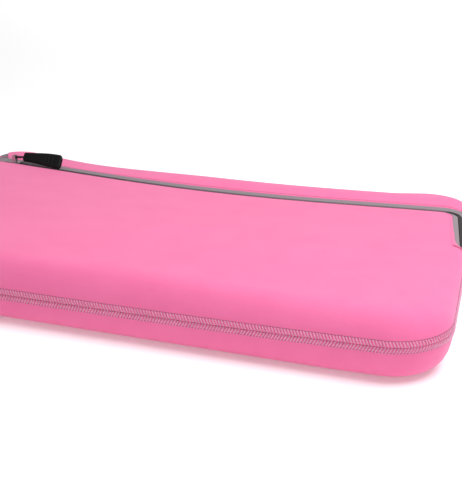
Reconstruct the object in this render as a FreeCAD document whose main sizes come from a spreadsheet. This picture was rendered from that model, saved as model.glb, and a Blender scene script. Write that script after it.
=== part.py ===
import FreeCAD, Part
import math
import os
import re

import Sketcher

# A zip-up neoprene sleeve that lies flat on its back. X runs along the mouth's zip, +Y towards
# the mouth, +Z up. The origin is the middle of the resting face.

doc = FreeCAD.newDocument("laptop_sleeve")
sheet = doc.addObject("Spreadsheet::Sheet", "Sizes")

DRIVING_SIZES = [
    ("width", 388.0, "overall length along the zip, without the seam threads"),
    ("depth", 256.0, "overall depth, from the closed long wall to the mouth wall"),
    ("height", 40.0, "thickness at the closed long wall"),
    ("mouth_height", 26.0, "thickness at the mouth wall"),
    ("corner_radius", 34.0, "plan radius of the four corners"),
    ("crown_radius", 14.0, "radius between walls and top"),
    ("floor_radius", 9.0, "radius between walls and resting face"),
    ("foam", 4.0, "neoprene thickness"),
    ("jersey", 0.5, "bonded lining thickness"),
    ("seam_height", 21.0, "highest that the flatlock seam's middle is above the resting face"),
    ("seam_band", 6.6, "height of the flatlock seam"),
    ("seam_rise", 0.5, "how far the seam threads stand proud"),
    ("seam_part", 0.3, "space between the seam's two rows"),
    ("lip_reach", 38.0, "from the mouth wall's outer face back to the zip's centre line"),
    ("side_inset", 22.0, "from the end wall's outer face to the zip's side run"),
    ("zip_bend", 14.0, "plan radius of the zip's corner"),
    ("side_run", 66.0, "how far the zip runs down the end"),
    ("zip_start", 24.0, "from the left end wall to the first coil"),
    ("zip_slot", 7.6, "width of the slot between the panels' edges"),
    ("body_gap", 0.3, "space left between pieces that move apart"),
    ("coil_half", 2.2, "from the zip's centre line to a coil's outside"),
    ("coil_part", 0.55, "from the zip's centre line to a coil's inside"),
    ("coil_rise", 1.5, "height of a coil above its tape"),
    ("tape_half", 8.0, "from the zip's centre line to a tape's outer edge"),
    ("tape_thick", 0.5, "zip tape thickness"),
    ("tape_tail", 11.0, "tape left beyond each end of the coils"),
    ("tape_drop", 0.1, "space between a lining and the tape under it"),
    ("stitch_line", 6.0, "from the zip's centre line to a topstitch row"),
    ("stitch_width", 0.8, "width of a topstitch row"),
    ("stitch_rise", 0.35, "height of a topstitch row"),
    ("stop_length", 3.2, "length of a zip stop"),
    ("stop_half", 2.6, "half width of a zip stop"),
    ("tack_length", 2.0, "length of a bar tack along the zip"),
    ("tack_half", 6.0, "half width of a bar tack across the zip"),
    ("tack_rise", 0.7, "height of a bar tack"),
    ("slider_length", 11.0, "length of the slider body"),
    ("slider_half", 3.4, "half width of the slider body"),
    ("plate", 0.9, "thickness of the slider's plates and flanges"),
    ("post", 0.5, "width of the post between the slider's plates"),
    ("slider_clear", 0.3, "space between the slider and the coils and tapes in it"),
    ("pin_radius", 0.7, "radius of the bail's pin"),
    ("pin_height", 1.6, "pin's height above the panels"),
    ("lug_length", 2.8, "length of a bail lug along the zip"),
    ("lug_half", 2.3, "from the zip's centre line to a lug's outside"),
    ("lug_thick", 1.0, "thickness of a bail lug"),
    ("link_half", 1.1, "half width of the link's eye"),
    ("link_eye", 1.6, "outer radius of the link's eye"),
    ("link_reach", 6.0, "from the pin to the end of the link's flat"),
    ("link_thick", 1.4, "thickness of the link's flat"),
    ("stem_radius", 0.75, "radius of the link's stem"),
    ("stem_length", 12.0, "length of the stem beyond the flat"),
    ("head_radius", 1.15, "radius of the stem's head"),
    ("head_length", 1.2, "length of the stem's head"),
    ("running", 0.06, "radial clearance of a running fit"),
    ("link_pitch", 5.0, "link's rise above the zip at rest, in degrees"),
    ("tab_lean", 50.0, "tab's lean at rest, in degrees from lying flat"),
    ("tab_start", 8.0, "from the pin to the tab"),
    ("tab_length", 33.0, "length of the pull tab"),
    ("tab_root", 6.4, "width of the tab at the link"),
    ("tab_tip", 10.6, "width of the tab at its free end"),
    ("tab_thick", 3.4, "thickness of the pull tab"),
    ("tab_round", 1.6, "radius of the tab's corners"),
]
for row, (alias, number, meaning) in enumerate(DRIVING_SIZES, start=1):
    sheet.set(f"A{row}", alias)
    sheet.set(f"B{row}", str(number))
    sheet.set(f"C{row}", meaning)
    sheet.setAlias(f"B{row}", alias)
doc.recompute()

ALIASES = {alias for alias, _, _ in DRIVING_SIZES}
nodes = []


def bound(expression):
    """An expression in which each size's alias names its cell."""
    return re.sub(
        "[a-z_]+",
        lambda word: f"Sizes.{word.group()}" if word.group() in ALIASES else word.group(),
        expression,
    )


def value(expression):
    """The present value of an expression on the sheet's sizes."""
    found = sheet.evalExpression(bound(expression))
    return float(getattr(found, "Value", found))


def bind(thing, **expressions):
    """Ties properties to the sheet. A double underscore stands for a dot."""
    for name, expression in expressions.items():
        thing.setExpression(name.replace("__", "."), bound(expression))
    return thing


def node(thing, label):
    """Names a finished sub-part."""
    thing.Label = label
    nodes.append(thing)
    return thing


def sketch_on(body, role):
    """An empty sketch on one of a body's own origin planes."""
    plane = next(item for item in body.Origin.OriginFeatures if item.Role == role)
    sketch = body.newObject("Sketcher::SketchObject", body.Name + "_sketch")
    sketch.AttachmentSupport = [(plane, "")]
    sketch.MapMode = "FlatFace"
    return sketch


def tie(sketch, kind, curve, end, expression):
    """Ties a point's distance from the sketch's origin to the sheet."""
    now = value(expression)
    place = sketch.addConstraint(Sketcher.Constraint(kind, -1, 1, curve, end, now))
    sketch.setExpression(f"Constraints[{place}]", bound(expression))


def slanted_outline(sketch, corners):
    """A closed outline of straight lines through corners at any angle."""
    spots = [FreeCAD.Vector(value(x), value(y), 0) for x, y in corners]
    for here, there in zip(spots, spots[1:] + spots[:1]):
        sketch.addGeometry(Part.LineSegment(here, there), False)
    for index, (x, y) in enumerate(corners):
        following = (index + 1) % len(corners)
        sketch.addConstraint(Sketcher.Constraint("Coincident", index, 2, following, 1))
        tie(sketch, "DistanceX", index, 1, x)
        tie(sketch, "DistanceY", index, 1, y)


def square_outline(sketch, corners):
    """A closed outline of lines along X and Y. Each corner is its x, its y and its radius."""
    count = len(corners)
    spots = [FreeCAD.Vector(value(x), value(y), 0) for x, y, _ in corners]
    radii = [value(radius) if radius else 0.0 for _, _, radius in corners]
    ahead = [(spots[(i + 1) % count] - spots[i]).normalize() for i in range(count)]
    starts = [spots[i] + ahead[i] * radii[i] for i in range(count)]
    ends = [spots[i] - ahead[i - 1] * radii[i] for i in range(count)]
    for i in range(count):
        sketch.addGeometry(Part.LineSegment(starts[i], ends[(i + 1) % count]), False)
    for i in range(count):
        following = (i + 1) % count
        upright = corners[i][0] == corners[following][0]
        sketch.addConstraint(Sketcher.Constraint("Vertical" if upright else "Horizontal", i))
        kind, expression = ("DistanceX", corners[i][0]) if upright else ("DistanceY", corners[i][1])
        tie(sketch, kind, i, 1, expression)
        if not corners[following][2]:
            sketch.addConstraint(Sketcher.Constraint("Coincident", i, 2, following, 1))
    for i in range(count):
        if not corners[i][2]:
            continue
        inward = ahead[i] - ahead[i - 1]
        middle = spots[i] + inward * radii[i]
        halfway = middle - inward * (radii[i] / math.sqrt(2))
        arc = sketch.addGeometry(Part.Arc(ends[i], halfway, starts[i]), False)
        turning_left = ahead[i - 1].cross(ahead[i]).z > 0
        first, last = (1, 2) if turning_left else (2, 1)
        before = (i - 1) % count
        sketch.addConstraint(Sketcher.Constraint("Tangent", before, 2, arc, first))
        sketch.addConstraint(Sketcher.Constraint("Tangent", arc, last, i, 1))
        place = sketch.addConstraint(Sketcher.Constraint("Radius", arc, radii[i]))
        sketch.setExpression(f"Constraints[{place}]", bound(corners[i][2]))


def rim(feature, upward):
    """Names of the edges round the face that looks up, or down."""
    def looks(face):
        spot = face.Surface.parameter(face.CenterOfMass)
        return face.normalAt(*spot).z * (1 if upward else -1)

    flat = max(feature.Shape.Faces, key=looks)
    return [
        f"Edge{index}"
        for index, edge in enumerate(feature.Shape.Edges, start=1)
        if any(edge.isSame(other) for other in flat.Edges)
    ]


def pillow(name, inset):
    """The sleeve's rounded wedge, with all its faces moved inwards by an inset."""
    body = doc.addObject("PartDesign::Body", name)
    plan = sketch_on(body, "XY_Plane")
    bind(plan, AttachmentOffset__Base__z=inset)
    left, right = f"-width / 2 + {inset}", f"width / 2 - ({inset})"
    near, far = f"-depth / 2 + {inset}", f"depth / 2 - ({inset})"
    turn = f"corner_radius - ({inset})"
    square_outline(plan, [(left, near, turn), (right, near, turn), (right, far, turn),
                          (left, far, turn)])
    pad = body.newObject("PartDesign::Pad", name + "_pad")
    pad.Profile = plan
    bind(pad, Length=f"height - 2 * ({inset})")
    side = sketch_on(body, "YZ_Plane")
    drop = "(height - mouth_height) / 2"
    above = "height + height"
    slanted_outline(side, [("-depth", f"height + {drop} - ({inset})"),
                           ("depth", f"mouth_height - {drop} - ({inset})"),
                           ("depth", above), ("-depth", above)])
    slope = body.newObject("PartDesign::Pocket", name + "_slope")
    slope.Profile = side
    slope.Type = "ThroughAll"
    slope.Midplane = True
    doc.recompute()
    crown = body.newObject("PartDesign::Fillet", name + "_crown")
    crown.Base = (slope, rim(slope, True))
    bind(crown, Radius=f"crown_radius - ({inset})")
    doc.recompute()
    foot = body.newObject("PartDesign::Fillet", name + "_foot")
    foot.Base = (crown, rim(crown, False))
    bind(foot, Radius=f"floor_radius - ({inset})")
    doc.recompute()
    return body


def block(name, start, sizes):
    """A box from its lowest corner and its three sizes, all as expressions."""
    box = doc.addObject("Part::Box", name)
    bind(box, Length=sizes[0], Width=sizes[1], Height=sizes[2])
    bind(box, Placement__Base__x=start[0], Placement__Base__y=start[1],
         Placement__Base__z=start[2])
    return box


def rod(name, radius, length, start, axis):
    """A cylinder that starts at a point and runs along an axis."""
    cylinder = doc.addObject("Part::Cylinder", name)
    turn = FreeCAD.Rotation(FreeCAD.Vector(0, 0, 1), axis)
    cylinder.Placement = FreeCAD.Placement(FreeCAD.Vector(), turn)
    bind(cylinder, Radius=radius, Height=length)
    bind(cylinder, Placement__Base__x=start[0], Placement__Base__y=start[1],
         Placement__Base__z=start[2])
    return cylinder


def joined(name, pieces):
    """Pieces fused to one solid."""
    fused = doc.addObject("Part::MultiFuse", name)
    fused.Shapes = pieces
    return fused


def taken(name, base, tool):
    """One piece with another cut out of it."""
    cut = doc.addObject("Part::Cut", name)
    cut.Base = base
    cut.Tool = tool
    return cut


def shared(name, base, tool):
    """What two pieces have in common."""
    common = doc.addObject("Part::Common", name)
    common.Base = base
    common.Tool = tool
    return common


def prism(name, corners, low, thick):
    """An upright body from an outline along X and Y and its lower face."""
    body = doc.addObject("PartDesign::Body", name)
    outline = sketch_on(body, "XY_Plane")
    bind(outline, AttachmentOffset__Base__z=low)
    square_outline(outline, corners)
    pad = body.newObject("PartDesign::Pad", name + "_pad")
    pad.Profile = outline
    bind(pad, Length=thick)
    return body


# The shell: neoprene between the outer pillow and a smaller one, and jersey inside that.
outside = pillow("outside", "0")
foam_inside = pillow("foam_inside", "foam")
hollow = pillow("hollow", "foam + jersey")
neoprene = taken("neoprene", outside, foam_inside)
lining = taken("lining", foam_inside, hollow)
laminate = taken("laminate", outside, hollow)

# The regions that part the shell into panels. The flatlock seam is the level that parts the
# front from the back, and the zip's slot parts the front from the lip and the gussets. A thin
# mouth lowers the level, so that it stays under the ceiling of the pocket.
LOW = "min(seam_height; mouth_height - foam - jersey)"
TALL = "height"
SLOT_NEAR = "depth / 2 - lip_reach - zip_slot / 2"
SLOT_FAR = "depth / 2 - lip_reach + zip_slot / 2"
LIP_HALF = "width / 2 - corner_radius"
SIDE_IN = "width / 2 - side_inset - zip_slot / 2"
SIDE_OUT = "width / 2 - side_inset + zip_slot / 2"
RUN_END = "depth / 2 - lip_reach - side_run - stop_length - 3 * body_gap"

front_region = prism("front_region", [
    ("-width", "-depth", ""), ("width", "-depth", ""), ("width", RUN_END, ""),
    (SIDE_IN, RUN_END, ""), (SIDE_IN, SLOT_NEAR, "zip_bend - zip_slot / 2"),
    ("-width", SLOT_NEAR, ""),
], LOW, TALL)
tray = block("tray", ("-width", "-depth", "-floor_radius"),
             ("2 * width", "2 * depth", f"{LOW} + floor_radius"))
fold_bay = block("fold_bay",
                 (f"-({LIP_HALF})", "depth / 2 - floor_radius", "-floor_radius"),
                 (f"2 * ({LIP_HALF})", "lip_reach", TALL))
lip_bay = block("lip_bay", (f"-({LIP_HALF})", SLOT_FAR, "floor_radius"),
                (f"2 * ({LIP_HALF})", "lip_reach", TALL))
back_region = taken("back_region", tray, joined("bays", [fold_bay, lip_bay]))
lip_region = block("lip_region",
                   (f"-({LIP_HALF}) + body_gap", SLOT_FAR, "floor_radius + body_gap"),
                   (f"2 * ({LIP_HALF} - body_gap)", "lip_reach", TALL))
fold_region = block("fold_region",
                    (f"-({LIP_HALF}) + body_gap", "depth / 2 - floor_radius", "-floor_radius"),
                    (f"2 * ({LIP_HALF} - body_gap)", "lip_reach", "2 * floor_radius"))
left_region = block("left_region", ("-width", SLOT_FAR, LOW),
                    ("width / 2 + corner_radius", "lip_reach", TALL))
right_far = block("right_far", (LIP_HALF, SLOT_FAR, LOW), ("width", "lip_reach", TALL))
right_side = block("right_side", (SIDE_OUT, RUN_END, LOW),
                   ("width", f"{SLOT_FAR} - ({RUN_END}) + body_gap", TALL))
right_region = joined("right_region", [right_far, right_side])

node(shared("front_panel", neoprene, front_region), "front_panel")
node(shared("front_lining", lining, front_region), "front_lining")
node(shared("back_panel", neoprene, back_region), "back_panel")
node(shared("back_lining", lining, back_region), "back_lining")
node(shared("mouth_lip", neoprene, lip_region), "mouth_lip")
node(shared("mouth_lip_lining", lining, lip_region), "mouth_lip_lining")
node(shared("lip_fold", laminate, fold_region), "lip_fold")
node(shared("left_gusset", neoprene, left_region), "left_gusset")
node(shared("right_gusset", neoprene, right_region), "right_gusset")

# The flatlock seam: two rows of threads that stand proud of the walls where the panels meet,
# round the closed long wall and both ends, as far as the gussets.
thread_skin = pillow("thread_skin", "-seam_rise")
threads = taken("threads", thread_skin, outside)
for label, low in (("seam_upper_stitches", f"{LOW} + seam_part / 2"),
                   ("seam_lower_stitches", f"{LOW} - seam_band / 2")):
    row = block(label + "_row", ("-width", "-depth", low),
                ("2 * width", f"depth + {RUN_END}", "(seam_band - seam_part) / 2"))
    node(shared(label, threads, row), label)

# The zip lies in a frame of its own: its origin is on the zip's centre line at the panels'
# outer face, its X runs along the zip, and its plane slopes with the panels.
SLOPE = math.atan2(value("height - mouth_height"), value("depth"))
ZIP_Y = value("depth / 2 - lip_reach")
ZIP_Z = value("mouth_height + lip_reach * (height - mouth_height) / depth")
zip_frame = FreeCAD.Placement(
    FreeCAD.Vector(0, ZIP_Y, ZIP_Z),
    FreeCAD.Rotation(FreeCAD.Vector(1, 0, 0), -math.degrees(SLOPE)),
)
SIDE_X = "width / 2 - side_inset"
COIL_FACE = "-(foam + jersey) - tape_drop"


def zip_pad(label, corners, low, thick):
    """A flat piece in the zip's plane, from its outline and its lower face."""
    body = prism(label, corners, low, thick)
    body.Placement = zip_frame
    return node(body, label)


def zip_run(label, inner, outer, low, thick, start, end):
    """A strip beside the zip's centre line, along the mouth, round the bend and down the end.

    The offsets inner and outer are from the centre line, positive away from the pocket.
    """
    zip_pad(label, [
        (start, inner, ""),
        (f"{SIDE_X} + {inner}", inner, f"zip_bend + {inner}"),
        (f"{SIDE_X} + {inner}", end, ""),
        (f"{SIDE_X} + {outer}", end, ""),
        (f"{SIDE_X} + {outer}", outer, f"zip_bend + {outer}"),
        (start, outer, ""),
    ], low, thick)


def rectangle(left, near, length, width):
    """The corners of a plain rectangle."""
    right, far = f"{left} + {length}", f"{near} + {width}"
    return [(left, near, ""), (right, near, ""), (right, far, ""), (left, far, "")]


COIL_START = "-width / 2 + zip_start"
TAPE_START = f"{COIL_START} - tape_tail"
COIL_END = "-side_run"
TAPE_END = f"{COIL_END} - tape_tail"
for label, side in (("front", "-"), ("rear", "")):
    near_edge, far_edge = sorted((f"({side}coil_part)", f"({side}tape_half)"), key=value)
    zip_run(f"{label}_zip_tape", near_edge, far_edge, f"{COIL_FACE} - tape_thick",
            "tape_thick", TAPE_START, TAPE_END)
    near_edge, far_edge = sorted((f"({side}coil_part)", f"({side}coil_half)"), key=value)
    zip_run(f"{label}_coil", near_edge, far_edge, COIL_FACE, "coil_rise", COIL_START, COIL_END)
    middle = f"({side}stitch_line)"
    zip_run(f"{label}_topstitch", f"({middle} - stitch_width / 2)",
            f"({middle} + stitch_width / 2)", "tape_drop", "stitch_rise", TAPE_START, COIL_END)

# The zip's two stops lie across the coils' ends, and the two bar tacks across the slot's ends.
STOP_SPACE = "stop_length + body_gap"
zip_pad("closed_end_stop",
        rectangle(f"{COIL_START} - ({STOP_SPACE})", "-stop_half", "stop_length", "2 * stop_half"),
        COIL_FACE, "coil_rise")
zip_pad("open_end_stop",
        rectangle(f"{SIDE_X} - stop_half", f"{COIL_END} - ({STOP_SPACE})", "2 * stop_half",
                  "stop_length"),
        COIL_FACE, "coil_rise")
TACK_FACE = "tape_drop + stitch_rise"
zip_pad("closed_end_tack",
        rectangle(f"{TAPE_START} + body_gap", "-tack_half", "tack_length", "2 * tack_half"),
        TACK_FACE, "tack_rise")
zip_pad("open_end_tack",
        rectangle(f"{SIDE_X} - tack_half", f"{COIL_END} - tape_tail / 2", "2 * tack_half",
                  "tack_length"),
        TACK_FACE, "tack_rise")

# The slider: two plates joined by a post, flanges that keep the coils in, and a bail whose pin
# carries the pull. Its own origin is on the zip's centre line at the panels' outer face.
X_AXIS, Y_AXIS = FreeCAD.Vector(1, 0, 0), FreeCAD.Vector(0, 1, 0)
UNDER = f"{COIL_FACE} - tape_thick - slider_clear - plate"
OVER = f"{COIL_FACE} + coil_rise + slider_clear"
slider_pieces = [
    block("lower_plate", ("-slider_length / 2", "-slider_half", UNDER),
          ("slider_length", "2 * slider_half", "plate")),
    block("upper_plate", ("-slider_length / 2", "-slider_half", OVER),
          ("slider_length", "2 * slider_half", "plate")),
    block("post_block", ("-slider_length / 2", "-post / 2", UNDER),
          ("lug_thick * 2", "post", f"{OVER} - ({UNDER}) + plate")),
    rod("bail_pin", "pin_radius", "2 * lug_half", ("0", "-lug_half", "pin_height"), Y_AXIS),
]
for label, flange_y, lug_y in (("near", "-slider_half", "-lug_half"),
                               ("far", "slider_half - plate", "lug_half - lug_thick")):
    slider_pieces.append(block(
        label + "_flange", ("-slider_length / 2", flange_y, f"{COIL_FACE} + slider_clear"),
        ("slider_length", "plate", f"{OVER} + plate - ({COIL_FACE} + slider_clear)")))
    slider_pieces.append(block(
        label + "_lug", ("-lug_length / 2", lug_y, OVER),
        ("lug_length", "lug_thick", f"pin_height + lug_length / 2 - ({OVER})")))
slider = joined("slider_body", slider_pieces)
SLIDER_X = value(f"{COIL_START} + slider_length / 2 + lug_thick")
slider_frame = zip_frame * FreeCAD.Placement(FreeCAD.Vector(SLIDER_X, 0, 0), FreeCAD.Rotation())
slider.Placement = slider_frame
node(slider, "slider_body")

# The pull link: an eye on the bail's pin, a flat, and a round stem with a head.
link_solid = joined("link_solid", [
    rod("eye", "link_eye", "2 * link_half", ("0", "-link_half", "0"), Y_AXIS),
    block("link_flat", ("0", "-link_half", "-link_thick / 2"),
          ("link_reach", "2 * link_half", "link_thick")),
    rod("stem", "stem_radius", "link_reach + stem_length", ("0", "0", "0"), X_AXIS),
    rod("head", "head_radius", "head_length", ("link_reach + stem_length", "0", "0"), X_AXIS),
])
eye_bore = rod("eye_bore", "pin_radius + running", "4 * link_half", ("0", "-2 * link_half", "0"),
               Y_AXIS)
link = taken("pull_link", link_solid, eye_bore)
pull_frame = slider_frame * FreeCAD.Placement(
    FreeCAD.Vector(0, 0, value("pin_height")), FreeCAD.Rotation(Y_AXIS, -value("link_pitch")))
link.Placement = pull_frame
node(link, "pull_link")

# The pull tab: a moulded blade that widens to its free end and turns on the link's stem.
blade = doc.addObject("PartDesign::Body", "blade")
blade_outline = sketch_on(blade, "XY_Plane")
TAB_END = "tab_start + tab_length"
slanted_outline(blade_outline, [("tab_start", "-tab_root / 2"), (TAB_END, "-tab_tip / 2"),
                                (TAB_END, "tab_tip / 2"), ("tab_start", "tab_root / 2")])
blade_pad = blade.newObject("PartDesign::Pad", "blade_pad")
blade_pad.Profile = blade_outline
blade_pad.Midplane = True
bind(blade_pad, Length="tab_thick")
doc.recompute()
corners = [
    f"Edge{index}"
    for index, edge in enumerate(blade_pad.Shape.Edges, start=1)
    if abs(edge.tangentAt(edge.FirstParameter).z) > math.cos(math.radians(1))
]
blade_round = blade.newObject("PartDesign::Fillet", "blade_round")
blade_round.Base = (blade_pad, corners)
bind(blade_round, Radius="tab_round")
tab_bore = joined("tab_bore", [
    rod("stem_bore", "stem_radius + running", "link_reach + stem_length", ("0", "0", "0"), X_AXIS),
    rod("head_bore", "head_radius + running", "head_length + 2 * slider_clear",
        ("link_reach + stem_length - slider_clear", "0", "0"), X_AXIS),
])
tab = taken("pull_tab", blade, tab_bore)
tab.Placement = pull_frame * FreeCAD.Placement(
    FreeCAD.Vector(), FreeCAD.Rotation(X_AXIS, value("tab_lean")))
node(tab, "pull_tab")

# Every sub-part is checked before any is written.
doc.recompute()
for item in doc.Objects:
    if {"Invalid", "Error"} & set(item.State):
        raise RuntimeError(f"{item.Name} did not build: {item.State}")
for item in nodes:
    shape = item.Shape
    if shape.isNull() or not shape.isValid() or len(shape.Solids) != 1:
        raise RuntimeError(f"{item.Label} is not one valid solid")
os.makedirs("parts", exist_ok=True)
for item in nodes:
    item.Shape.exportStep(f"parts/{item.Label}.step")
    box = item.Shape.BoundBox
    print(f"{item.Label}: {box.XLength:.1f} x {box.YLength:.1f} x {box.ZLength:.1f} mm")

# The joints' places, for whoever writes the record.
pin = slider_frame.multVec(FreeCAD.Vector(0, 0, value("pin_height")))
print("lip hinge at y, z:", value("depth / 2 - floor_radius"), value("floor_radius"))
print("link pin at:", pin, "along:", zip_frame.Rotation.multVec(Y_AXIS))
print("tab stem along:", pull_frame.Rotation.multVec(X_AXIS))
SLIDER_END = value(f"{SIDE_X} - zip_bend - slider_length / 2 - lug_thick")
print("slider travel:", SLIDER_END - SLIDER_X)
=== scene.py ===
import math

import bmesh
import bpy
import numpy as np
from mathutils import Matrix, Vector


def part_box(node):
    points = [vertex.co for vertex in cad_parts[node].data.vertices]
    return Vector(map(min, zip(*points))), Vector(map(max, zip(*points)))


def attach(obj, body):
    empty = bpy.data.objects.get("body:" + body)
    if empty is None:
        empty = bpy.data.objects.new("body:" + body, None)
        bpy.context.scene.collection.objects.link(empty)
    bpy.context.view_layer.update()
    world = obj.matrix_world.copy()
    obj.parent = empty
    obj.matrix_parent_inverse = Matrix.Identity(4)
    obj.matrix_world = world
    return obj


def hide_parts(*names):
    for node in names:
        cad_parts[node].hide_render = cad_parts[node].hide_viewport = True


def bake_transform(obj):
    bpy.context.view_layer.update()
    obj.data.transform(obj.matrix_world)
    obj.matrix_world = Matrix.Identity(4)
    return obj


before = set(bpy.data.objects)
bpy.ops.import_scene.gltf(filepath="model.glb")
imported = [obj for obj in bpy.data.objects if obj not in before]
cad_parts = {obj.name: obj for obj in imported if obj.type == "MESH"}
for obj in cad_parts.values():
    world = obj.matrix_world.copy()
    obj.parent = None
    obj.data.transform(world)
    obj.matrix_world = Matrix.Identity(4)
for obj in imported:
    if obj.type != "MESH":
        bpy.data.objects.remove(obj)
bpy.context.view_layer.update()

# The sewn form. Every panel of the sleeve lies on one soft wedge, thick at the closed long
# wall and thin at the mouth. Its plan is a rounded rectangle, and its walls roll into the top
# and into the resting face without an edge.
tray_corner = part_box("back_panel")[1]
HALF_LENGTH = tray_corner.x
HALF_DEPTH = tray_corner.y
PLAN_CORNER = 0.034
CLOSED_HEIGHT = 0.0398
MOUTH_HEIGHT = 0.0258
CROWN_ROLL = 0.020
FLOOR_ROLL = 0.0115
ROLL_POWER = 2.25
SEAM_LEVEL = 0.0199
SEAM_RISE = (0.0017, 0.0025)
FOLD_LEVEL = 0.0125
LEVEL_FALL = (0.01, 0.10)
SLOT_HALF = 0.0038
ZIP_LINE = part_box("front_panel")[1].y + SLOT_HALF
SIDE_LINE = HALF_LENGTH - 0.0095
SIDE_SLANT = 0.09
ZIP_BEND = 0.014
QUARTER_BEND = ZIP_BEND * math.pi / 2
STRAIGHT_END = SIDE_LINE - ZIP_BEND
RUN_TOP = ZIP_LINE - ZIP_BEND
RUN_REACH = 0.08
RUN_END = 0.008
RUN_FADE = 0.034
VALLEY_DEPTH = 0.0009
VALLEY_WIDTH = 0.0075
VALLEY_FADE = 0.03
MOUTH_SAG = 0.0062
SAG_SPAN = (-0.06, 0.14)
END_RISE = 0.0028
END_PUFF = (-0.165, 0.034)
STRIP_RISE = 0.0034
STRIP_SPAN = (-0.12, 0.12)
STRIP_WIDTH = 0.020
END_DIP = 0.0006
RUN_ROLL_LESS = 0.008
RUN_ROLL_SPANS = ((0.13, 0.03), (-0.02, 0.03))
EDGE_LIFT = 0.0011
EDGE_TURN = (0.0028, 0.0026)


def smooth(value):
    """0 below 0, 1 above 1, and three t squared less two t cubed between them."""
    t = np.clip(value, 0.0, 1.0)
    return t * t * (3 - 2 * t)


def eased(value, span):
    """smooth along a span, given as its start and its length."""
    start, length = span
    return smooth((value - start) / length)


def inside_outline(x, y):
    """How far a plan point is inside the rounded rectangle, negative outside."""
    over_x = np.abs(x) - (HALF_LENGTH - PLAN_CORNER)
    over_y = np.abs(y) - (HALF_DEPTH - PLAN_CORNER)
    beyond = np.hypot(np.maximum(over_x, 0), np.maximum(over_y, 0))
    return PLAN_CORNER - beyond - np.minimum(np.maximum(over_x, over_y), 0)


def side_slant(y):
    """How far the side run has leant out towards the end wall, in proportion to its length."""
    return SIDE_SLANT * np.clip(RUN_TOP - y, 0, RUN_REACH)


def beyond_zip(x, y):
    """Signed distance from the zip's centre line, positive on the side away from the pocket.

    The line is straight along the mouth, bends by ZIP_BEND and runs down the right end.
    """
    over_x = x - STRAIGHT_END - side_slant(y)
    over_y = y - RUN_TOP
    beyond = np.hypot(np.maximum(over_x, 0), np.maximum(over_y, 0))
    return beyond + np.minimum(np.maximum(over_x, over_y), 0) - ZIP_BEND


def seam_level(x, y):
    """Height of the line that parts the upper walls from the lower ones. It climbs a little
    towards the right end, and falls to the fold's level on the way to the mouth."""
    share = x / HALF_LENGTH
    level = SEAM_LEVEL + SEAM_RISE[0] * share + SEAM_RISE[1] * share ** 2
    return level + (FOLD_LEVEL - level) * eased(y, LEVEL_FALL)


def crest(x, y):
    """Height that the top reaches once the walls have rolled over: a wedge, a little domed,
    that sags between the ends of the empty mouth."""
    wedge = CLOSED_HEIGHT + (MOUTH_HEIGHT - CLOSED_HEIGHT) * (y + HALF_DEPTH) / (2 * HALF_DEPTH)
    share = np.clip((x / HALF_LENGTH) ** 2, 0, 1)
    sag = MOUTH_SAG * (1 - share) ** 1.5 * eased(y, SAG_SPAN)
    at, width = END_PUFF
    puff = END_RISE * np.exp(-((x - at) / width) ** 2) + STRIP_RISE * eased(x, STRIP_SPAN)
    return wedge - END_DIP * share ** 2 - sag + puff * eased(y, (ZIP_LINE, STRIP_WIDTH))


def roll_radius(x, y):
    """Plan width of the roll from wall to top, tighter beside the zip's side run."""
    in_x, in_y = RUN_ROLL_SPANS
    return CROWN_ROLL - RUN_ROLL_LESS * eased(x, in_x) * eased(y, in_y)


def valley(x, y):
    """The shallow dip along the zip: a bell curve of the distance from its centre line."""
    depth = VALLEY_DEPTH * np.exp(-(beyond_zip(x, y) / VALLEY_WIDTH) ** 2)
    return depth * eased(y, (RUN_END - 0.01, VALLEY_FADE))


def top_height(x, y, sink=0.0):
    """Height of the top at a plan point, sink metres inside the outer face.

    With d the distance inside the outline and r the roll, the wall is a superellipse:
    from the seam's level it climbs by (1 - (1 - d / r) ^ n) ^ (1 / n) of the way to the crest.
    """
    level = seam_level(x, y)
    inside = np.clip((inside_outline(x, y) - sink) / (roll_radius(x, y) - sink), 0, 1)
    climb = (1 - (1 - inside) ** ROLL_POWER) ** (1 / ROLL_POWER)
    return level + (crest(x, y) - sink - level) * climb - valley(x, y)


def edge_drop(distance):
    """How far a turned edge falls: a quarter ellipse, 2.8 mm wide and 2.6 mm deep."""
    width, depth = EDGE_TURN
    inner = 1 - np.clip(distance / width, 0, 1)
    return depth * (1 - np.sqrt(1 - inner ** 2))


def placed(name, mesh):
    """A smooth-shaded object at the origin that shows the mesh."""
    mesh.shade_smooth()
    piece = bpy.data.objects.new(name, mesh)
    bpy.context.scene.collection.objects.link(piece)
    return piece


def mesh_piece(name, grid, closed=False, centre=None):
    """A mesh from a grid of points, rows by columns. closed joins the last column to the first,
    and centre closes the last row to one point."""
    rows, columns = grid.shape[:2]
    points = grid.reshape(-1, 3)
    index = np.arange(rows * columns).reshape(rows, columns)
    if closed:
        index = np.concatenate([index, index[:, :1]], axis=1)
    quads = np.stack([index[:-1, :-1], index[:-1, 1:], index[1:, 1:], index[1:, :-1]], -1)
    faces = quads.reshape(-1, 4).tolist()
    if centre is not None:
        points = np.vstack([points, centre])
        pole = len(points) - 1
        faces += [[int(a), int(b), pole] for a, b in zip(index[-1, :-1], index[-1, 1:])]
    mesh = bpy.data.meshes.new(name)
    mesh.from_pydata(points.tolist(), [], faces)
    mesh.update()
    return placed(name, mesh)


def thicken(piece, thickness):
    """Gives a skin its thickness, on its inner side."""
    solid = piece.modifiers.new("thickness", "SOLIDIFY")
    solid.thickness = thickness
    solid.offset = -1
    solid.use_quality_normals = True
    return piece


def blank_finish(name, rough):
    """A new material with its node tree, its shader and a source of object coordinates."""
    material = bpy.data.materials.new(name)
    material.use_nodes = True
    tree = material.node_tree
    shader = tree.nodes["Principled BSDF"]
    shader.inputs["Roughness"].default_value = rough
    place = tree.nodes.new("ShaderNodeTexCoord").outputs["Object"]
    return material, tree, shader, place


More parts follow.
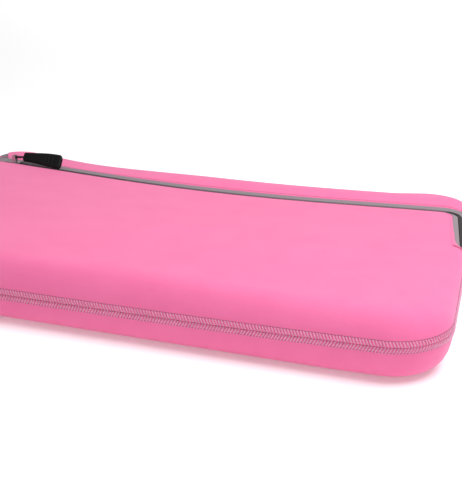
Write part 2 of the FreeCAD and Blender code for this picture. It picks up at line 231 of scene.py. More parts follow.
def texture(tree, kind, place, **settings):
    """A wave or noise texture on the place, with its sockets set by name."""
    node = tree.nodes.new(kind)
    for socket, value in settings.items():
        node.inputs[socket.replace("_", " ")].default_value = value
    tree.links.new(place, node.inputs["Vector"])
    return node


def tint(tree, shader, factor, dark, colour):
    """Colours the shader from dark to colour as the factor goes from 0 to 1."""
    tone = tree.nodes.new("ShaderNodeMix")
    tone.data_type = "RGBA"
    tone.inputs["A"].default_value = (*dark, 1.0)
    tone.inputs["B"].default_value = (*colour, 1.0)
    tree.links.new(factor, tone.inputs["Factor"])
    tree.links.new(tone.outputs["Result"], shader.inputs["Base Color"])


def emboss(tree, shader, height, strength, distance):
    """Raises the surface by a height, up to a distance in metres."""
    bump = tree.nodes.new("ShaderNodeBump")
    bump.inputs["Strength"].default_value = strength
    bump.inputs["Distance"].default_value = distance
    tree.links.new(height, bump.inputs["Height"])
    tree.links.new(bump.outputs["Normal"], shader.inputs["Normal"])


def knit(name, colour, shade, wale=0.00075, depth=0.35, sheen=0.35, rough=0.72, mottle=0.10):
    """Jersey knit: wales of small V stitches from two crossed waves, with soft mottling.

    The bump is a cosine across the wales whose phase shifts with a saw along them.
    """
    material, tree, shader, place = blank_finish(name, rough)
    shader.inputs["Sheen Weight"].default_value = sheen
    shader.inputs["Sheen Roughness"].default_value = 0.45
    shader.inputs["Sheen Tint"].default_value = (1.0, 0.82, 0.92, 1.0)
    shader.inputs["Specular IOR Level"].default_value = 0.25
    ribs = texture(tree, "ShaderNodeTexWave", place, Scale=0.314 / wale, Distortion=1.2,
                   Detail=1.0, Detail_Scale=2.0)
    courses = texture(tree, "ShaderNodeTexWave", place, Scale=0.42 / wale, Distortion=0.8)
    courses.bands_direction = "DIAGONAL"
    fuzz = texture(tree, "ShaderNodeTexNoise", place, Scale=900.0, Detail=4.0)
    cloud = texture(tree, "ShaderNodeTexNoise", place, Scale=38.0, Detail=5.0, Roughness=0.62)
    weave = tree.nodes.new("ShaderNodeMath")
    weave.operation = "MULTIPLY"
    tree.links.new(ribs.outputs["Fac"], weave.inputs[0])
    tree.links.new(courses.outputs["Fac"], weave.inputs[1])
    height = tree.nodes.new("ShaderNodeMath")
    height.operation = "MULTIPLY_ADD"
    height.inputs[1].default_value = 0.55
    tree.links.new(fuzz.outputs["Fac"], height.inputs[0])
    tree.links.new(weave.outputs["Value"], height.inputs[2])
    emboss(tree, shader, height.outputs["Value"], depth, 0.0003)
    spread = tree.nodes.new("ShaderNodeMapRange")
    spread.inputs["From Min"].default_value = 0.5 - 0.5 * mottle - 0.2
    spread.inputs["From Max"].default_value = 0.62
    tree.links.new(cloud.outputs["Fac"], spread.inputs["Value"])
    blend = tree.nodes.new("ShaderNodeMath")
    blend.operation = "MULTIPLY_ADD"
    blend.use_clamp = True
    blend.inputs[1].default_value = 0.30
    tree.links.new(weave.outputs["Value"], blend.inputs[0])
    tree.links.new(spread.outputs["Result"], blend.inputs[2])
    tint(tree, shader, blend.outputs["Value"], shade, colour)
    return material


# Front panel: 4 mm closed-cell neoprene with pink warp-knit jersey bonded on its outside. It is
# cut flat, sewn to the back panel along the flatlock seam, and its far edge is turned under
# beside the zip.
NEOPRENE = 0.004
JERSEY = 0.0005
PINK = (0.93, 0.188, 0.41)
PINK_SHADE = (0.90, 0.165, 0.38)
pink_knit = knit("pink_knit", PINK, PINK_SHADE)
ROLL_STEPS = 26
LEFT_TURN = 0.005
EASE_LOW, EASE_HIGH = -0.008, 0.024
MIDDLE = np.array([0.0, -0.02])


def arc(centre_x, centre_y, radius, start, end, count):
    """Points on a circle between two angles in degrees, without the last one."""
    angle = np.radians(np.linspace(start, end, count, endpoint=False))
    return np.stack([centre_x + radius * np.cos(angle), centre_y + radius * np.sin(angle)], -1)


def line(start, end, count):
    """Evenly spaced points on a straight line, without the last one."""
    step = np.linspace(0, 1, count, endpoint=False)[:, None]
    return np.array(start) + (np.array(end) - np.array(start)) * step


def right_edge(y, half_slot):
    """X of the slot's edge down the right end: it leaves the end wall below the zip's stop and
    eases in to the side run."""
    ease = smooth((y - RUN_END + RUN_FADE / 2) / RUN_FADE)
    return HALF_LENGTH + (SIDE_LINE + side_slant(y) + half_slot - HALF_LENGTH) * ease


def front_edge(shrink=0.0):
    """The front panel's edge in plan, anticlockwise from the left end of the near wall."""
    left, near = -HALF_LENGTH + shrink, -HALF_DEPTH + shrink
    right = HALF_LENGTH - shrink
    turn = PLAN_CORNER - shrink
    far = ZIP_LINE - SLOT_HALF
    slot_x = SIDE_LINE - SLOT_HALF
    bend = ZIP_BEND - SLOT_HALF
    climb_y = np.concatenate([np.linspace(near + turn, EASE_LOW, 36, endpoint=False),
                              np.linspace(EASE_LOW, EASE_HIGH, 62, endpoint=False),
                              np.linspace(EASE_HIGH, far - bend, 24, endpoint=False)])
    climb = np.stack([np.minimum(right_edge(climb_y, -SLOT_HALF), right), climb_y], -1)
    return np.concatenate([
        line((left + turn, near), (right - turn, near), 150),
        arc(right - turn, near + turn, turn, -90, 0, 36),
        climb,
        arc(slot_x - bend, far - bend, bend, 0, 90, 24),
        line((slot_x - bend, far), (left + LEFT_TURN, far), 150),
        arc(left + LEFT_TURN, far - LEFT_TURN, LEFT_TURN, 90, 180, 22),
        line((left, far - LEFT_TURN), (left, near + turn), 76),
        arc(left + turn, near + turn, turn, 180, 270, 36),
    ])


def inward(edge):
    """Unit normals to the left of a closed line in plan, from its neighbours' difference."""
    along = np.roll(edge, -1, 0) - np.roll(edge, 1, 0)
    for _ in range(3):
        along = (np.roll(along, 1, 0) + 2 * along + np.roll(along, -1, 0)) / 4
    along /= np.linalg.norm(along, axis=1, keepdims=True)
    return np.stack([-along[:, 1], along[:, 0]], -1)


def front_skin(sink=0.0):
    """Rings of the front panel's skin, sink metres inside the outer face. Every ring is the edge
    drawn towards one middle point, spaced by the cosine that makes the superellipse even. Where
    the edge has left the outline it is the zip's, and drops over its turned edge."""
    edge = front_edge(sink)
    toward = MIDDLE - edge
    reach = (toward * inward(edge)).sum(-1)
    angle = np.linspace(0, math.pi / 2, ROLL_STEPS)
    step = CROWN_ROLL * (1 - np.cos(angle) ** (2 / ROLL_POWER))
    rim = step[:, None] / reach[None]
    spread = np.linspace(0, 1, 32)[1:-1, None]
    share = np.concatenate([rim, rim[-1:] + (1 - rim[-1:]) * spread])
    plan = edge[None] + toward[None] * share[..., None]
    x, y = plan[..., 0], plan[..., 1]
    apart = inside_outline(edge[:, 0], edge[:, 1]) - sink
    at_zip = smooth(apart / 0.006)[None]
    height = top_height(x, y, sink) - at_zip * edge_drop(share * reach[None])
    pole = [*MIDDLE, float(top_height(*MIDDLE, sink))]
    return np.concatenate([plan, height[..., None]], -1), pole


front_rings, front_pole = front_skin()
front_panel = mesh_piece("front_panel_neoprene", front_rings, closed=True, centre=front_pole)
thicken(front_panel, NEOPRENE)
front_panel.data.materials.append(pink_knit)
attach(front_panel, "root")
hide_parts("front_panel")

# Front lining: grey knit jersey bonded to the inside of the front panel when the sheet is made.
GREY = (0.115, 0.112, 0.118)
GREY_SHADE = (0.07, 0.068, 0.072)
grey_knit = knit("grey_knit", GREY, GREY_SHADE, wale=0.0009, sheen=0.25)
LINING_SINK = NEOPRENE + 0.0003
lining_rings, lining_pole = front_skin(LINING_SINK)
front_lining = mesh_piece("front_lining_jersey", lining_rings, closed=True, centre=lining_pole)
thicken(front_lining, JERSEY)
front_lining.data.materials.append(grey_knit)
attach(front_lining, "root")
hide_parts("front_lining")

# Back panel: the same neoprene. It is the resting face and the lower half of the walls, and it
# goes round the near wall and both ends in one piece.
CORNER_LIFT = 0.0013
FAR_COUNT = 160
WALL_STEPS = 18


def plan_ring(shrink):
    """The whole outline in plan, anticlockwise from the right end of the far wall's straight."""
    length, depth, turn = HALF_LENGTH - shrink, HALF_DEPTH - shrink, PLAN_CORNER - shrink
    straight, side = length - turn, depth - turn
    return np.concatenate([
        line((straight, depth), (-straight, depth), FAR_COUNT),
        arc(-straight, side, turn, 90, 180, 36),
        line((-length, side), (-length, -side), 90),
        arc(-straight, -side, turn, 180, 270, 36),
        line((-straight, -depth), (straight, -depth), 160),
        arc(straight, -side, turn, -90, 0, 36),
        line((length, -side), (length, side), 90),
        arc(straight, side, turn, 0, 90, 36),
    ])


def lower_rings(ring, sink=0.0):
    """Rings down the wall from the seam's level to the resting face. With r the floor's roll,
    each goes in by r (1 - cos a ^ 2/n) and down by sin a ^ 2/n of the way, for a up to 90."""
    normal = inward(ring)
    angle = np.linspace(0, math.pi / 2, WALL_STEPS)[:, None]
    step = (FLOOR_ROLL - sink) * (1 - np.cos(angle) ** (2 / ROLL_POWER))
    plan = ring[None] + normal[None] * step[..., None]
    level = seam_level(ring[:, 0], ring[:, 1])[None, :]
    height = sink + (level - sink) * (1 - np.sin(angle) ** (2 / ROLL_POWER))
    corner = np.hypot(plan[..., 0] - HALF_LENGTH, plan[..., 1] + HALF_DEPTH)
    height = height + (EDGE_LIFT + CORNER_LIFT * (1 - smooth(corner / 0.07))) * np.sin(angle) ** 2
    return np.concatenate([plan, height[..., None]], -1)


def back_skin(sink=0.0):
    """The resting face as rings from the floor's roll to its middle, and the walls as a ribbon
    that leaves out the far wall's straight."""
    ring = plan_ring(sink)
    walls = lower_rings(ring, sink)
    ribbon = np.concatenate([walls[:, FAR_COUNT:], walls[:, :1]], axis=1)
    share = np.linspace(1, 0, 16)[:-1][:, None, None]
    inner = walls[-1][None] * share
    inner[..., 2] = sink + (walls[-1][None, :, 2] - sink) * share[..., 0] ** 6
    return ribbon, inner


def joined_piece(name, *pieces):
    """Several meshes as one, with the points that meet merged."""
    work = bmesh.new()
    for piece in pieces:
        work.from_mesh(piece.data)
        bpy.data.objects.remove(piece)
    bmesh.ops.remove_doubles(work, verts=work.verts, dist=1e-5)
    mesh = bpy.data.meshes.new(name)
    work.to_mesh(mesh)
    work.free()
    return placed(name, mesh)


back_walls, back_floor = back_skin()
back_panel = joined_piece(
    "back_panel_neoprene",
    mesh_piece("walls", back_walls),
    mesh_piece("floor", back_floor, closed=True, centre=[0, 0, 0]),
)
back_panel.data.flip_normals()
thicken(back_panel, NEOPRENE)
back_panel.data.materials.append(pink_knit)
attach(back_panel, "root")
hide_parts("back_panel")

# Back lining: grey knit jersey bonded to the inside of the back panel before it is cut. It
# covers the floor and the lower walls, so that a laptop touches only the knit.
lining_walls, lining_floor = back_skin(LINING_SINK)
back_lining = joined_piece(
    "back_lining_jersey",
    mesh_piece("lining_walls", lining_walls),
    mesh_piece("lining_floor", lining_floor, closed=True, centre=[0, 0, LINING_SINK]),
)
back_lining.data.flip_normals()
thicken(back_lining, JERSEY)
back_lining.data.materials.append(grey_knit)
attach(back_lining, "root")
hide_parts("back_lining")


# Mouth lip: the strip of pink neoprene beyond the zip, one cut with the fold about which the sleeve's
# lip swings back.
# This piece is baked in place and does not move. Its near edge is turned under beside the zip and its
# ends run into the gussets.
def zip_side(start, end, count, side=1):
    """Pairs of plan points across the strip beyond the zip: on the slot's edge and on the outline.

    The position is metres along the mouth, and past the bend's start it is the bend's angle.
    """
    corner_x, corner_y = HALF_LENGTH - PLAN_CORNER, HALF_DEPTH - PLAN_CORNER
    along = np.linspace(start, end, count)
    turn = np.clip(along - STRAIGHT_END, 0, None) / ZIP_BEND
    x = np.minimum(along, STRAIGHT_END)
    radius = ZIP_BEND + SLOT_HALF
    near = np.stack([x + radius * np.sin(turn), RUN_TOP + radius * np.cos(turn)], -1)
    x = np.minimum(np.where(along > 0, along * corner_x / STRAIGHT_END, along), corner_x)
    far = np.stack([x + PLAN_CORNER * np.sin(turn), corner_y + PLAN_CORNER * np.cos(turn)], -1)
    return near, far


def strip(near, far, sink=0.0, rows=34):
    """The skin between the slot's edge and the outline, close rows at both ends."""
    share = ((1 - np.cos(np.linspace(0, math.pi, rows))) / 2)[:, None, None]
    plan = near[None] + (far - near)[None] * share
    x, y = plan[..., 0], plan[..., 1]
    gone = np.linalg.norm(plan - near[None], axis=-1)
    height = top_height(x, y, sink) - edge_drop(gone)
    return np.concatenate([plan, height[..., None]], -1)


PINK_END = STRAIGHT_END + 0.0125
LIP_LEFT = -0.150
LIP_RIGHT = 0.150
near_edge, far_edge = zip_side(LIP_LEFT, PINK_END, 150)
mouth_lip = mesh_piece("mouth_lip_neoprene", strip(near_edge, far_edge))
thicken(mouth_lip, NEOPRENE)
mouth_lip.data.materials.append(pink_knit)
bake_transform(mouth_lip)
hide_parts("mouth_lip")

# Left end of the mouth lip: the same neoprene, where the pink narrows towards the gusset. It is
# baked in place and does not stretch as the mouth opens.
LEFT_PINK = -0.172
CORNER_SHIFT = 0.010


def left_side(start, end, count):
    """Pairs of plan points across the left end of the strip, out to the rounded corner."""
    x = np.linspace(start, end, count)
    near = np.stack([x, np.full_like(x, ZIP_LINE + SLOT_HALF)], -1)
    share = np.clip((LIP_LEFT - x) / (HALF_LENGTH + LIP_LEFT - 0.0002), 0, 1)
    turn = share * math.pi / 2
    far_x = np.where(share > 0, LIP_LEFT - CORNER_SHIFT * np.minimum(share * 8, 1), x)
    corner_x, corner_y = HALF_LENGTH - PLAN_CORNER, HALF_DEPTH - PLAN_CORNER
    far = np.stack([far_x - PLAN_CORNER * np.sin(turn), corner_y + PLAN_CORNER * np.cos(turn)], -1)
    return near, far


near_edge, far_edge = left_side(LEFT_PINK, LIP_LEFT, 24)
lip_end = mesh_piece("mouth_lip_left_end", strip(near_edge, far_edge))
thicken(lip_end, NEOPRENE)
lip_end.data.materials.append(pink_knit)
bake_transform(lip_end)

# Lip lining: grey knit jersey bonded inside the strip. It turns with the lip and shows when
# the mouth is open.
near_edge, far_edge = zip_side(LIP_LEFT, LIP_RIGHT, 60)
far_edge[:, 1] -= LINING_SINK
lip_lining = mesh_piece("mouth_lip_lining_jersey", strip(near_edge, far_edge, LINING_SINK))
thicken(lip_lining, JERSEY)
lip_lining.data.materials.append(grey_knit)
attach(lip_lining, "lip")
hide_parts("mouth_lip_lining")


# Fold: the foot of the far wall, one cut with the back panel and the lip. The sleeve's neoprene
# bends here as the lip swings open; this piece is baked in place and does not bend.
def fold_skin(sink=0.0):
    """The lower wall's rings along the far straight, carried on a little over the floor."""
    walls = lower_rings(plan_ring(sink), sink)[:, :FAR_COUNT + 1]
    inner = walls[-1:] - np.array([0, 0.006, 0])
    inner[..., 2] = sink
    return np.concatenate([walls, inner])


fold = mesh_piece("lip_fold_neoprene", fold_skin())
fold.data.flip_normals()
thicken(fold, NEOPRENE)
fold.data.materials.append(pink_knit)
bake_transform(fold)
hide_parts("lip_fold")

# Gussets: two pieces of grey stretch knit that close the strip's ends. The left one fills the
# corner, and the right one goes down the end wall beside the zip's side run.
GUSSET = 0.0012
GUSSET_SINK = 0.0006
GUSSET_GREY = (0.17, 0.168, 0.172)
GUSSET_SHADE = (0.10, 0.10, 0.103)
gusset_knit = knit("gusset_knit", GUSSET_GREY, GUSSET_SHADE, wale=0.0011, depth=0.5, sheen=0.3)
near_edge, far_edge = left_side(-0.1937, LEFT_PINK, 34)
left_gusset = mesh_piece("left_gusset_knit", strip(near_edge, far_edge, GUSSET_SINK))
thicken(left_gusset, GUSSET)
left_gusset.data.materials.append(gusset_knit)
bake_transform(left_gusset)
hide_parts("left_gusset")

near_edge, far_edge = zip_side(PINK_END, STRAIGHT_END + QUARTER_BEND, 20)
run_y = np.linspace(near_edge[-1, 1], RUN_END - 0.0115, 64)[1:]
run_near = np.stack([np.minimum(right_edge(run_y, SLOT_HALF), HALF_LENGTH - 1e-5), run_y], -1)
run_far = np.stack([np.full_like(run_y, HALF_LENGTH), run_y], -1)
run_far[:, 1] += 0.018 * (1 - smooth((near_edge[-1, 1] - run_y) / 0.05))
near_edge, far_edge = np.concatenate([near_edge, run_near]), np.concatenate([far_edge, run_far])
right_gusset = mesh_piece("right_gusset_knit", strip(near_edge, far_edge, GUSSET_SINK))
thicken(right_gusset, GUSSET)
right_gusset.data.materials.append(gusset_knit)
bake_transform(right_gusset)
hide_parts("right_gusset")


# Flatlock seam: two rows of slanted thread over the butted edges of the two panels, with a
# needle line along each side. It runs round the near wall and both ends.
def thread(name, colour, dark, rough=0.55):
    """Spun thread: fine stripes across the strand darken it, and the same stripes are a bump."""
    material, tree, shader, place = blank_finish(name, rough)
    shader.inputs["Sheen Weight"].default_value = 0.3
    ply = texture(tree, "ShaderNodeTexWave", place, Scale=900.0, Distortion=0.6)
    ply.bands_direction = "DIAGONAL"
    tint(tree, shader, ply.outputs["Fac"], dark, colour)
    emboss(tree, shader, ply.outputs["Fac"], 0.4, 0.0001)
    return material


def strands(name, paths, outward, radius, taper, sides=6):
    """Many short strands as one mesh. paths is strands by stations by 3, and outward a unit
    vector for each strand. A strand is a tube that narrows to taper at its ends."""
    count, stations = paths.shape[:2]
    along = np.gradient(paths, axis=1)
    along /= np.linalg.norm(along, axis=2, keepdims=True)
    across = np.cross(along, outward[:, None, :])
    across /= np.linalg.norm(across, axis=2, keepdims=True)
    up = np.cross(across, along)
    angle = np.arange(sides) * 2 * math.pi / sides
    size = radius * (taper + (1 - taper) * np.sin(np.linspace(0.12, math.pi - 0.12, stations)) ** 0.5)
    ring = (across[:, :, None] * np.cos(angle)[:, None] + up[:, :, None] * np.sin(angle)[:, None])
    points = paths[:, :, None] + ring * size[None, :, None, None]
    index = np.arange(count * stations * sides).reshape(count, stations, sides)
    turned = np.roll(index, -1, axis=2)
    quads = np.stack([index[:, :-1], index[:, 1:], turned[:, 1:], turned[:, :-1]], -1)
    faces = quads.reshape(-1, 4).tolist()
    faces += index[:, 0].tolist() + index[:, -1, ::-1].tolist()
    mesh = bpy.data.meshes.new(name)
    mesh.from_pydata(points.reshape(-1, 3).tolist(), [], faces)
    mesh.update()
    return placed(name, mesh)


SEAM_BAND = 0.0066
SEAM_PITCH = 0.0017
SEAM_GAP = 0.00025
THREAD_LEAN = 0.0016
THREAD = 0.00034
NEEDLE_THREAD = 0.00017
NEEDLE_STEPS = 560
SEAM_TOP_RIGHT = -0.002
SEAM_TOP_LEFT = 0.076
seam_thread = thread("seam_thread_pink", (0.96, 0.50, 0.68), (0.70, 0.24, 0.42))
needle_thread = thread("needle_thread_plum", (0.42, 0.09, 0.20), (0.28, 0.05, 0.13))


def wall_walk(distance):
    """Plan point and outward normal at a distance along the outline, from the right end of the
    seam round the near wall to its left end."""
    length, depth = HALF_LENGTH, HALF_DEPTH
    quarter = PLAN_CORNER * math.pi / 2
    first = SEAM_TOP_RIGHT + depth - PLAN_CORNER
    second = first + quarter
    third = second + 2 * (length - PLAN_CORNER)
    fourth = third + quarter
    turned = np.clip(distance - first, 0, quarter) + np.clip(distance - third, 0, quarter)
    turn = turned / PLAN_CORNER
    normal = np.stack([np.cos(turn), -np.sin(turn)], -1)
    x = length - PLAN_CORNER - np.clip(distance - second, 0, third - second)
    y = np.full_like(x, PLAN_CORNER - depth)
    y = np.where(distance < first, SEAM_TOP_RIGHT - distance, y)
    y = np.where(distance > fourth, PLAN_CORNER - depth + distance - fourth, y)
    return np.stack([x, y], -1) + normal * PLAN_CORNER, normal


def on_wall(distance, rise, lift):
    """A point on the wall, rise metres above the seam's level and lift metres off the cloth."""
    plan, normal = wall_walk(distance)
    level = seam_level(plan[..., 0], plan[..., 1])
    above = np.clip(rise / (crest(plan[..., 0], plan[..., 1]) - level), 0, 1)
    below = np.clip(-rise / level, 0, 1)
    roll_above, roll_below = roll_radius(plan[..., 0], plan[..., 1]), FLOOR_ROLL
    inset = sum(roll * (1 - (1 - share ** ROLL_POWER) ** (1 / ROLL_POWER))
                for roll, share in ((roll_above, above), (roll_below, below)))
    plan = plan - normal * (inset - lift)[..., None]
    height = level + rise
    return np.concatenate([plan, height[..., None]], -1)


seam_length = (SEAM_TOP_RIGHT + SEAM_TOP_LEFT + 2 * (HALF_DEPTH - PLAN_CORNER)
               + 2 * (HALF_LENGTH - PLAN_CORNER) + math.pi * PLAN_CORNER)
seam_count = int(seam_length / SEAM_PITCH)
loop_step = np.linspace(0, 1, 6)
jitter = np.random.default_rng(7).normal(0, 0.00007, (seam_count, 1))
for side, row in ((1, "upper"), (-1, "lower")):
    start = (np.arange(seam_count) * SEAM_PITCH)[:, None] + jitter
    lean = start + THREAD_LEAN * loop_step[None]
    rise = side * (SEAM_GAP + (SEAM_BAND / 2 - SEAM_GAP) * loop_step)[None] * np.ones_like(start)
    lift = THREAD * (0.55 + 0.5 * np.sin(math.pi * loop_step))[None] * np.ones_like(start)
    paths = on_wall(lean, rise, lift)
    outward = np.pad(wall_walk(start[:, 0])[1], ((0, 0), (0, 1)))
    loops = strands(f"seam_{row}_threads", paths, outward, THREAD, taper=0.7)
    loops.data.materials.append(seam_thread)
    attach(loops, "root")
    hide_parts(f"seam_{row}_stitches")
    walk = np.linspace(0, seam_length, NEEDLE_STEPS)[None]
    line_path = on_wall(walk, np.full_like(walk, side * SEAM_BAND / 2), np.zeros_like(walk))
    needle = strands(f"seam_{row}_needle_line", line_path, np.array([[0, 0, 1.0]]), NEEDLE_THREAD,
                     taper=1.0)
    needle.data.materials.append(needle_thread)
    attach(needle, "root")


# Zip: two woven tapes with a nylon coil on each. They lie at the foot of the slot, under the
# panels' turned edges, go along the mouth and bend down the right end.
ZIP_START = -0.181
TAPE_START = -0.1925
COIL_START = -0.170
TAPE_LEVEL = -0.0011
TAPE_CURL = 0.0009


def zip_walk(distance, offset):
    """Plan point at a distance along the zip from x 0, offset metres outwards from its line."""
    turn = np.clip(distance - STRAIGHT_END, 0, QUARTER_BEND) / ZIP_BEND
    x = np.minimum(distance, STRAIGHT_END) + (ZIP_BEND + offset) * np.sin(turn)
    y = RUN_TOP + (ZIP_BEND + offset) * np.cos(turn)
    y = y - np.clip(distance - STRAIGHT_END - QUARTER_BEND, 0, None)
    return np.stack([x + side_slant(y) * (turn >= math.pi / 2), y], -1)


def zip_points(distance, offset, height):
    """Points beside the zip: a distance along, an offset across and a height off the cloth."""
    plan = zip_walk(distance, offset)
    middle = zip_walk(distance, 0 * offset)
    level = top_height(middle[..., 0], middle[..., 1])
    return np.concatenate([plan, (level + height)[..., None]], -1)


zip_length = STRAIGHT_END + QUARTER_BEND + RUN_TOP - RUN_END


def woven(name, colour, dark, rough=0.7, scale=550.0):
    """Plain weave tape: two crossed waves make the ribs of warp and weft."""
    material, tree, shader, place = blank_finish(name, rough)
    cross = tree.nodes.new("ShaderNodeMath")
    cross.operation = "MAXIMUM"
    for socket, direction in enumerate(("X", "Y")):
        ribs = texture(tree, "ShaderNodeTexWave", place, Scale=scale, Distortion=0.5)
        ribs.bands_direction = direction
        tree.links.new(ribs.outputs["Fac"], cross.inputs[socket])
    tint(tree, shader, cross.outputs["Value"], dark, colour)
    emboss(tree, shader, cross.outputs["Value"], 0.5, 0.0002)
    return material


tape_weave = woven("zip_tape_grey", (0.33, 0.27, 0.30), (0.21, 0.175, 0.19))
coil_nylon = woven("zip_coil_nylon", (0.045, 0.038, 0.042), (0.02, 0.017, 0.019), 0.38, 1250.0)
stitch_thread = thread("topstitch_pink", (0.84, 0.19, 0.39), (0.66, 0.13, 0.29))
ZIP_PARTS = {"front": -1, "rear": 1}
TOOTH_PITCH = 0.0013
DASH_PITCH, DASH, STITCH_LINE = 0.0032, 0.0026, 0.0068
TAPE_THICK = 0.0005
COIL_THREAD, DASH_THREAD, TACK_THREAD = 0.0003, 0.00026, 0.0003
TACK_HALF, TACK_LENGTH, TACK_PITCH = 0.006, 0.002, 0.00042


def tape_skin(side, start, end, count):
    """The tape's visible part. It curls up, as the square of the distance from the coil, to just
    under the panel's edge."""
    along = np.linspace(start, end, count)[None, :]
    across = side * np.linspace(0.0004, SLOT_HALF + 0.0012, 10)[:, None]
    return zip_points(along, across, TAPE_LEVEL + TAPE_CURL * (across / SLOT_HALF) ** 2 + 0 * along)


def teeth_of(name, side, start, end):
    """One side's coil: each turn rises from the tape, crosses the line and hooks down."""
    first = start + (TOOTH_PITCH / 2 if side > 0 else 0)
    at = np.arange(first, end, TOOTH_PITCH)
    profile_across = side * np.array([0.0013, 0.0011, 0.0006, -0.0001, -0.0003])
    profile_up = np.array([0.0, 0.0005, 0.0007, 0.0006, 0.0003])
    paths = zip_points(at[:, None], profile_across[None], TAPE_LEVEL + profile_up[None])
    outward = np.tile([[0.05, 0.05, 1.05]], (len(at), 1))
    outward /= np.linalg.norm(outward, axis=1)[:, None]
    return strands(name, paths, outward, COIL_THREAD, taper=0.7)


def dashes_of(name, side, start, end):
    """A row of lockstitch dashes lying in the cloth beside the zip."""
    at = np.arange(start, end, DASH_PITCH)
    step = np.linspace(0, 1, 5)[None]
    along = at[:, None] + DASH * step
    plan = zip_walk(along, np.full_like(along, side * STITCH_LINE))
    height = top_height(plan[..., 0], plan[..., 1]) + 0.00012 * np.sin(math.pi * step) - 0.00004
    paths = np.concatenate([plan, height[..., None]], -1)
    return strands(name, paths, np.tile([[0.03, 0.02, 1.0]], (len(at), 1)), DASH_THREAD, taper=0.5)


def hold(piece, side, left):
    """Front pieces stay with the pocket. Rear ones, at the left end or not, are baked in place."""
    if side < 0:
        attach(piece, "root")
    elif left:
        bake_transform(piece)
    else:
        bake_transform(piece)


for part, side in ZIP_PARTS.items():
    spans = [("", TAPE_START, COIL_START, zip_length)]
    if side > 0:
        spans = [("_left", TAPE_START, COIL_START, LIP_LEFT), ("", LIP_LEFT, LIP_LEFT, zip_length)]
    for tail, tape_start, coil_start, end in spans:
        left = tail == "_left"
        grid = tape_skin(side, tape_start, end, 40 if left else 260)
        tape = mesh_piece(f"{part}_zip_tape_woven{tail}", grid if side < 0 else grid[::-1])
        tape.data.flip_normals()
        thicken(tape, TAPE_THICK)
        tape.data.materials.append(tape_weave)
        hold(tape, side, left)
        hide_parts(f"{part}_zip_tape")
        coil = teeth_of(f"{part}_coil_turns{tail}", side, coil_start, end - 0.002)
        coil.data.materials.append(coil_nylon)
        hold(coil, side, left)
        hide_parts(f"{part}_coil")
        row = dashes_of(f"{part}_topstitch_dashes{tail}", side, tape_start, end)
        row.data.materials.append(stitch_thread)
        hold(row, side, left)
        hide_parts(f"{part}_topstitch")


# Bar tacks: a dense satin bar across each end of the zip, sewn through both tapes.
def bar_of(name, at):
    """Strands side by side across the zip, each 2 mm long."""
    offsets = np.arange(-TACK_HALF, TACK_HALF, TACK_PITCH)[:, None]
    step = np.linspace(0, 1, 5)[None]
    plan = zip_walk(at + TACK_LENGTH * step + 0 * offsets, offsets + 0 * step)
    height = top_height(plan[..., 0], plan[..., 1]) + 0.0002 + 0.0005 * np.sin(math.pi * step)
    paths = np.concatenate([plan, height[..., None]], -1)
    outward = np.tile([[0.03, 0.02, 1.0]], (len(offsets), 1))
    return strands(name, paths, outward, TACK_THREAD, taper=0.5)


for node, at in (("closed_end_tack", ZIP_START), ("open_end_tack", zip_length)):
    tack = bar_of(f"{node}_bar", at)
    tack.data.materials.append(stitch_thread)
    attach(tack, "root")
    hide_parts(node)


# Slider, its link and its pull: a nickel-plated die-cast slider, a black enamelled link and a
# moulded rubber tab. The stops at the coil's ends are black nylon.
def enamel(name, colour, rough, metal, shine=0.5):
    """Painted or moulded black with a fine orange-peel bump from noise."""
    material, tree, shader, place = blank_finish(name, rough)
    shader.inputs["Metallic"].default_value = metal
    shader.inputs["Specular IOR Level"].default_value = shine
    grain = texture(tree, "ShaderNodeTexNoise", place, Scale=1800.0, Detail=3.0)
    tint(tree, shader, grain.outputs["Fac"], [channel * 0.7 for channel in colour], colour)
    emboss(tree, shader, grain.outputs["Fac"], 0.25, 0.00008)
    return material


slider_nickel = enamel("slider_nickel", (0.60, 0.58, 0.58), 0.3, 1.0)
link_enamel = enamel("link_enamel", (0.018, 0.012, 0.014), 0.4, 0.2)
pull_rubber = enamel("pull_rubber", (0.0035, 0.0035, 0.004), 0.6, 0.0, shine=0.2)
stop_nylon = enamel("stop_nylon", (0.03, 0.03, 0.032), 0.45, 0.0)
for node, finish, steps in (("slider_body", slider_nickel, 3), ("pull_link", link_enamel, 3),
                            ("closed_end_stop", stop_nylon, 2), ("open_end_stop", stop_nylon, 2)):
    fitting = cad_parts[node]
    fitting.data.materials.clear()
    fitting.data.materials.append(finish)
    soft_edge = fitting.modifiers.new("soft_edge", "BEVEL")
    soft_edge.width = 0.0003
    soft_edge.segments = steps
    soft_edge.limit_method = "ANGLE"

PULL_PIN = np.array([-0.1635, 0.090087, 0.029676])
TOP_LEAN = math.atan((CLOSED_HEIGHT - MOUTH_HEIGHT) / (2 * HALF_DEPTH))
STEM_LIFT = math.radians(5)
STEM = np.array([math.cos(STEM_LIFT), math.sin(STEM_LIFT) * math.sin(TOP_LEAN),
                 math.sin(STEM_LIFT) * math.cos(TOP_LEAN)])
PULL_ACROSS = np.array([0.0, math.cos(TOP_LEAN), -math.sin(TOP_LEAN)])
PULL_LEAN = math.radians(50)
TAB_START, TAB_LENGTH, TAB_ROOT, TAB_TIP, TAB_THICK = 0.008, 0.033, 0.0074, 0.0120, 0.0034
TAB_DROOP = 0.0040
ROOT_END, TIP_START = 0.045, 0.93
GROOVES, GROOVE_WIDTH, GROOVE_DEPTH = (0.62, 0.71, 0.80), 0.018, 0.16


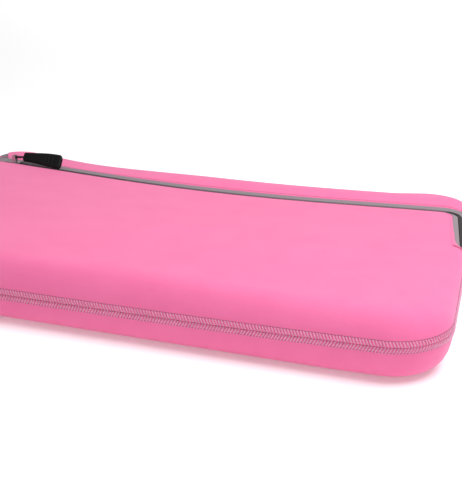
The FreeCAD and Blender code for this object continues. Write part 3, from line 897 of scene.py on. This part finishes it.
def pull_skin():
    """Rounded sections along the stem. The half width grows from root to tip, and each end is
    closed by a quarter ellipse. Three shallow grooves cross the grip, and the tip droops."""
    up = np.cross(STEM, PULL_ACROSS)
    across = PULL_ACROSS * math.cos(PULL_LEAN) + up * math.sin(PULL_LEAN)
    face = np.cross(STEM, across)
    end = np.linspace(0, math.pi / 2, 8)
    share = np.concatenate([ROOT_END * (1 - np.cos(end)),
                            np.linspace(ROOT_END, TIP_START, 60)[1:-1],
                            TIP_START + (1 - TIP_START) * np.sin(end)])
    close = np.concatenate([np.sin(end), np.ones(58), np.cos(end)])
    close = np.clip(close, 0.02, 1) ** 0.75
    groove = sum(np.exp(-((share - place) / GROOVE_WIDTH) ** 2) for place in GROOVES)
    wide = (TAB_ROOT + (TAB_TIP - TAB_ROOT) * smooth(share * 1.1)) / 2 * close
    thick = TAB_THICK / 2 * close * (1 - GROOVE_DEPTH * groove)
    angle = np.linspace(0, 2 * math.pi, 32, endpoint=False)[None]
    side = np.sign(np.cos(angle)) * np.abs(np.cos(angle)) ** 0.42 * wide[:, None]
    top = np.sign(np.sin(angle)) * np.abs(np.sin(angle)) ** 0.6 * thick[:, None]
    along = (TAB_START + TAB_LENGTH * share)[:, None, None]
    droop = TAB_DROOP * (share ** 1.5)[:, None, None] * np.array([0, 0, 1.0])
    return PULL_PIN + along * STEM - droop + side[..., None] * across + top[..., None] * face


pull = mesh_piece("pull_tab_rubber", pull_skin(), closed=True)
pull.data.materials.append(pull_rubber)
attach(pull, "tab")
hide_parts("pull_tab")


# Floor, light and camera: a white table that glows faintly, with a soft light over the right
# end of the sleeve. It is seen from the near side, a little to the right and above.
def emitter(name, place, aim, size, power):
    """A square area light that looks at a point."""
    light = bpy.data.lights.new(name, "AREA")
    light.shape = "SQUARE"
    light.size = size
    light.energy = power
    holder = bpy.data.objects.new(name, light)
    holder.location = place
    holder.rotation_euler = (Vector(aim) - Vector(place)).to_track_quat("-Z", "Y").to_euler()
    bpy.context.scene.collection.objects.link(holder)


table = mesh_piece("table", np.array([[[-4, -4, 0], [4, -4, 0]], [[-4, 4, 0], [4, 4, 0]]], float))
white_table = bpy.data.materials.new("white_table")
white_table.use_nodes = True
table_shader = white_table.node_tree.nodes["Principled BSDF"]
table_shader.inputs["Base Color"].default_value = (0.93, 0.93, 0.93, 1)
table_shader.inputs["Roughness"].default_value = 0.8
table_shader.inputs["Emission Color"].default_value = (1, 1, 1, 1)
table_shader.inputs["Emission Strength"].default_value = 0.22
table.data.materials.append(white_table)
emitter("key", (0.36, -0.12, 0.72), (0.10, 0, 0.02), 0.5, 5.5)
emitter("fill", (-0.95, -1.2, 0.45), (-0.1, 0, 0.02), 0.7, 1.4)
emitter("backdrop", (0.0, 2.0, 1.3), (0.0, 1.9, 0), 1.8, 26)
world = bpy.data.worlds.new("studio")
world.use_nodes = True
world.node_tree.nodes["Background"].inputs["Color"].default_value = (1, 1, 1, 1)
world.node_tree.nodes["Background"].inputs["Strength"].default_value = 0.30
bpy.context.scene.world = world
bpy.context.scene.view_settings.view_transform = "Standard"

CAMERA_AT = Vector((0.206, -0.562, 0.2435))
CAMERA_TURN = math.radians(16.15)
CAMERA_PITCH = math.radians(21.59)
CAMERA_ROLL = math.radians(1.46)
FOCAL_SHARE = 1.906
lens = bpy.data.cameras.new("camera")
lens.sensor_width = 36
lens.lens = FOCAL_SHARE * lens.sensor_width
lens.clip_start = 0.05
camera = bpy.data.objects.new("camera", lens)
camera.matrix_world = (
    Matrix.Translation(CAMERA_AT)
    @ Matrix.Rotation(CAMERA_TURN, 4, "Z")
    @ Matrix.Rotation(math.pi / 2 - CAMERA_PITCH, 4, "X")
    @ Matrix.Rotation(CAMERA_ROLL, 4, "Z")
)
bpy.context.scene.collection.objects.link(camera)
bpy.context.scene.camera = camera
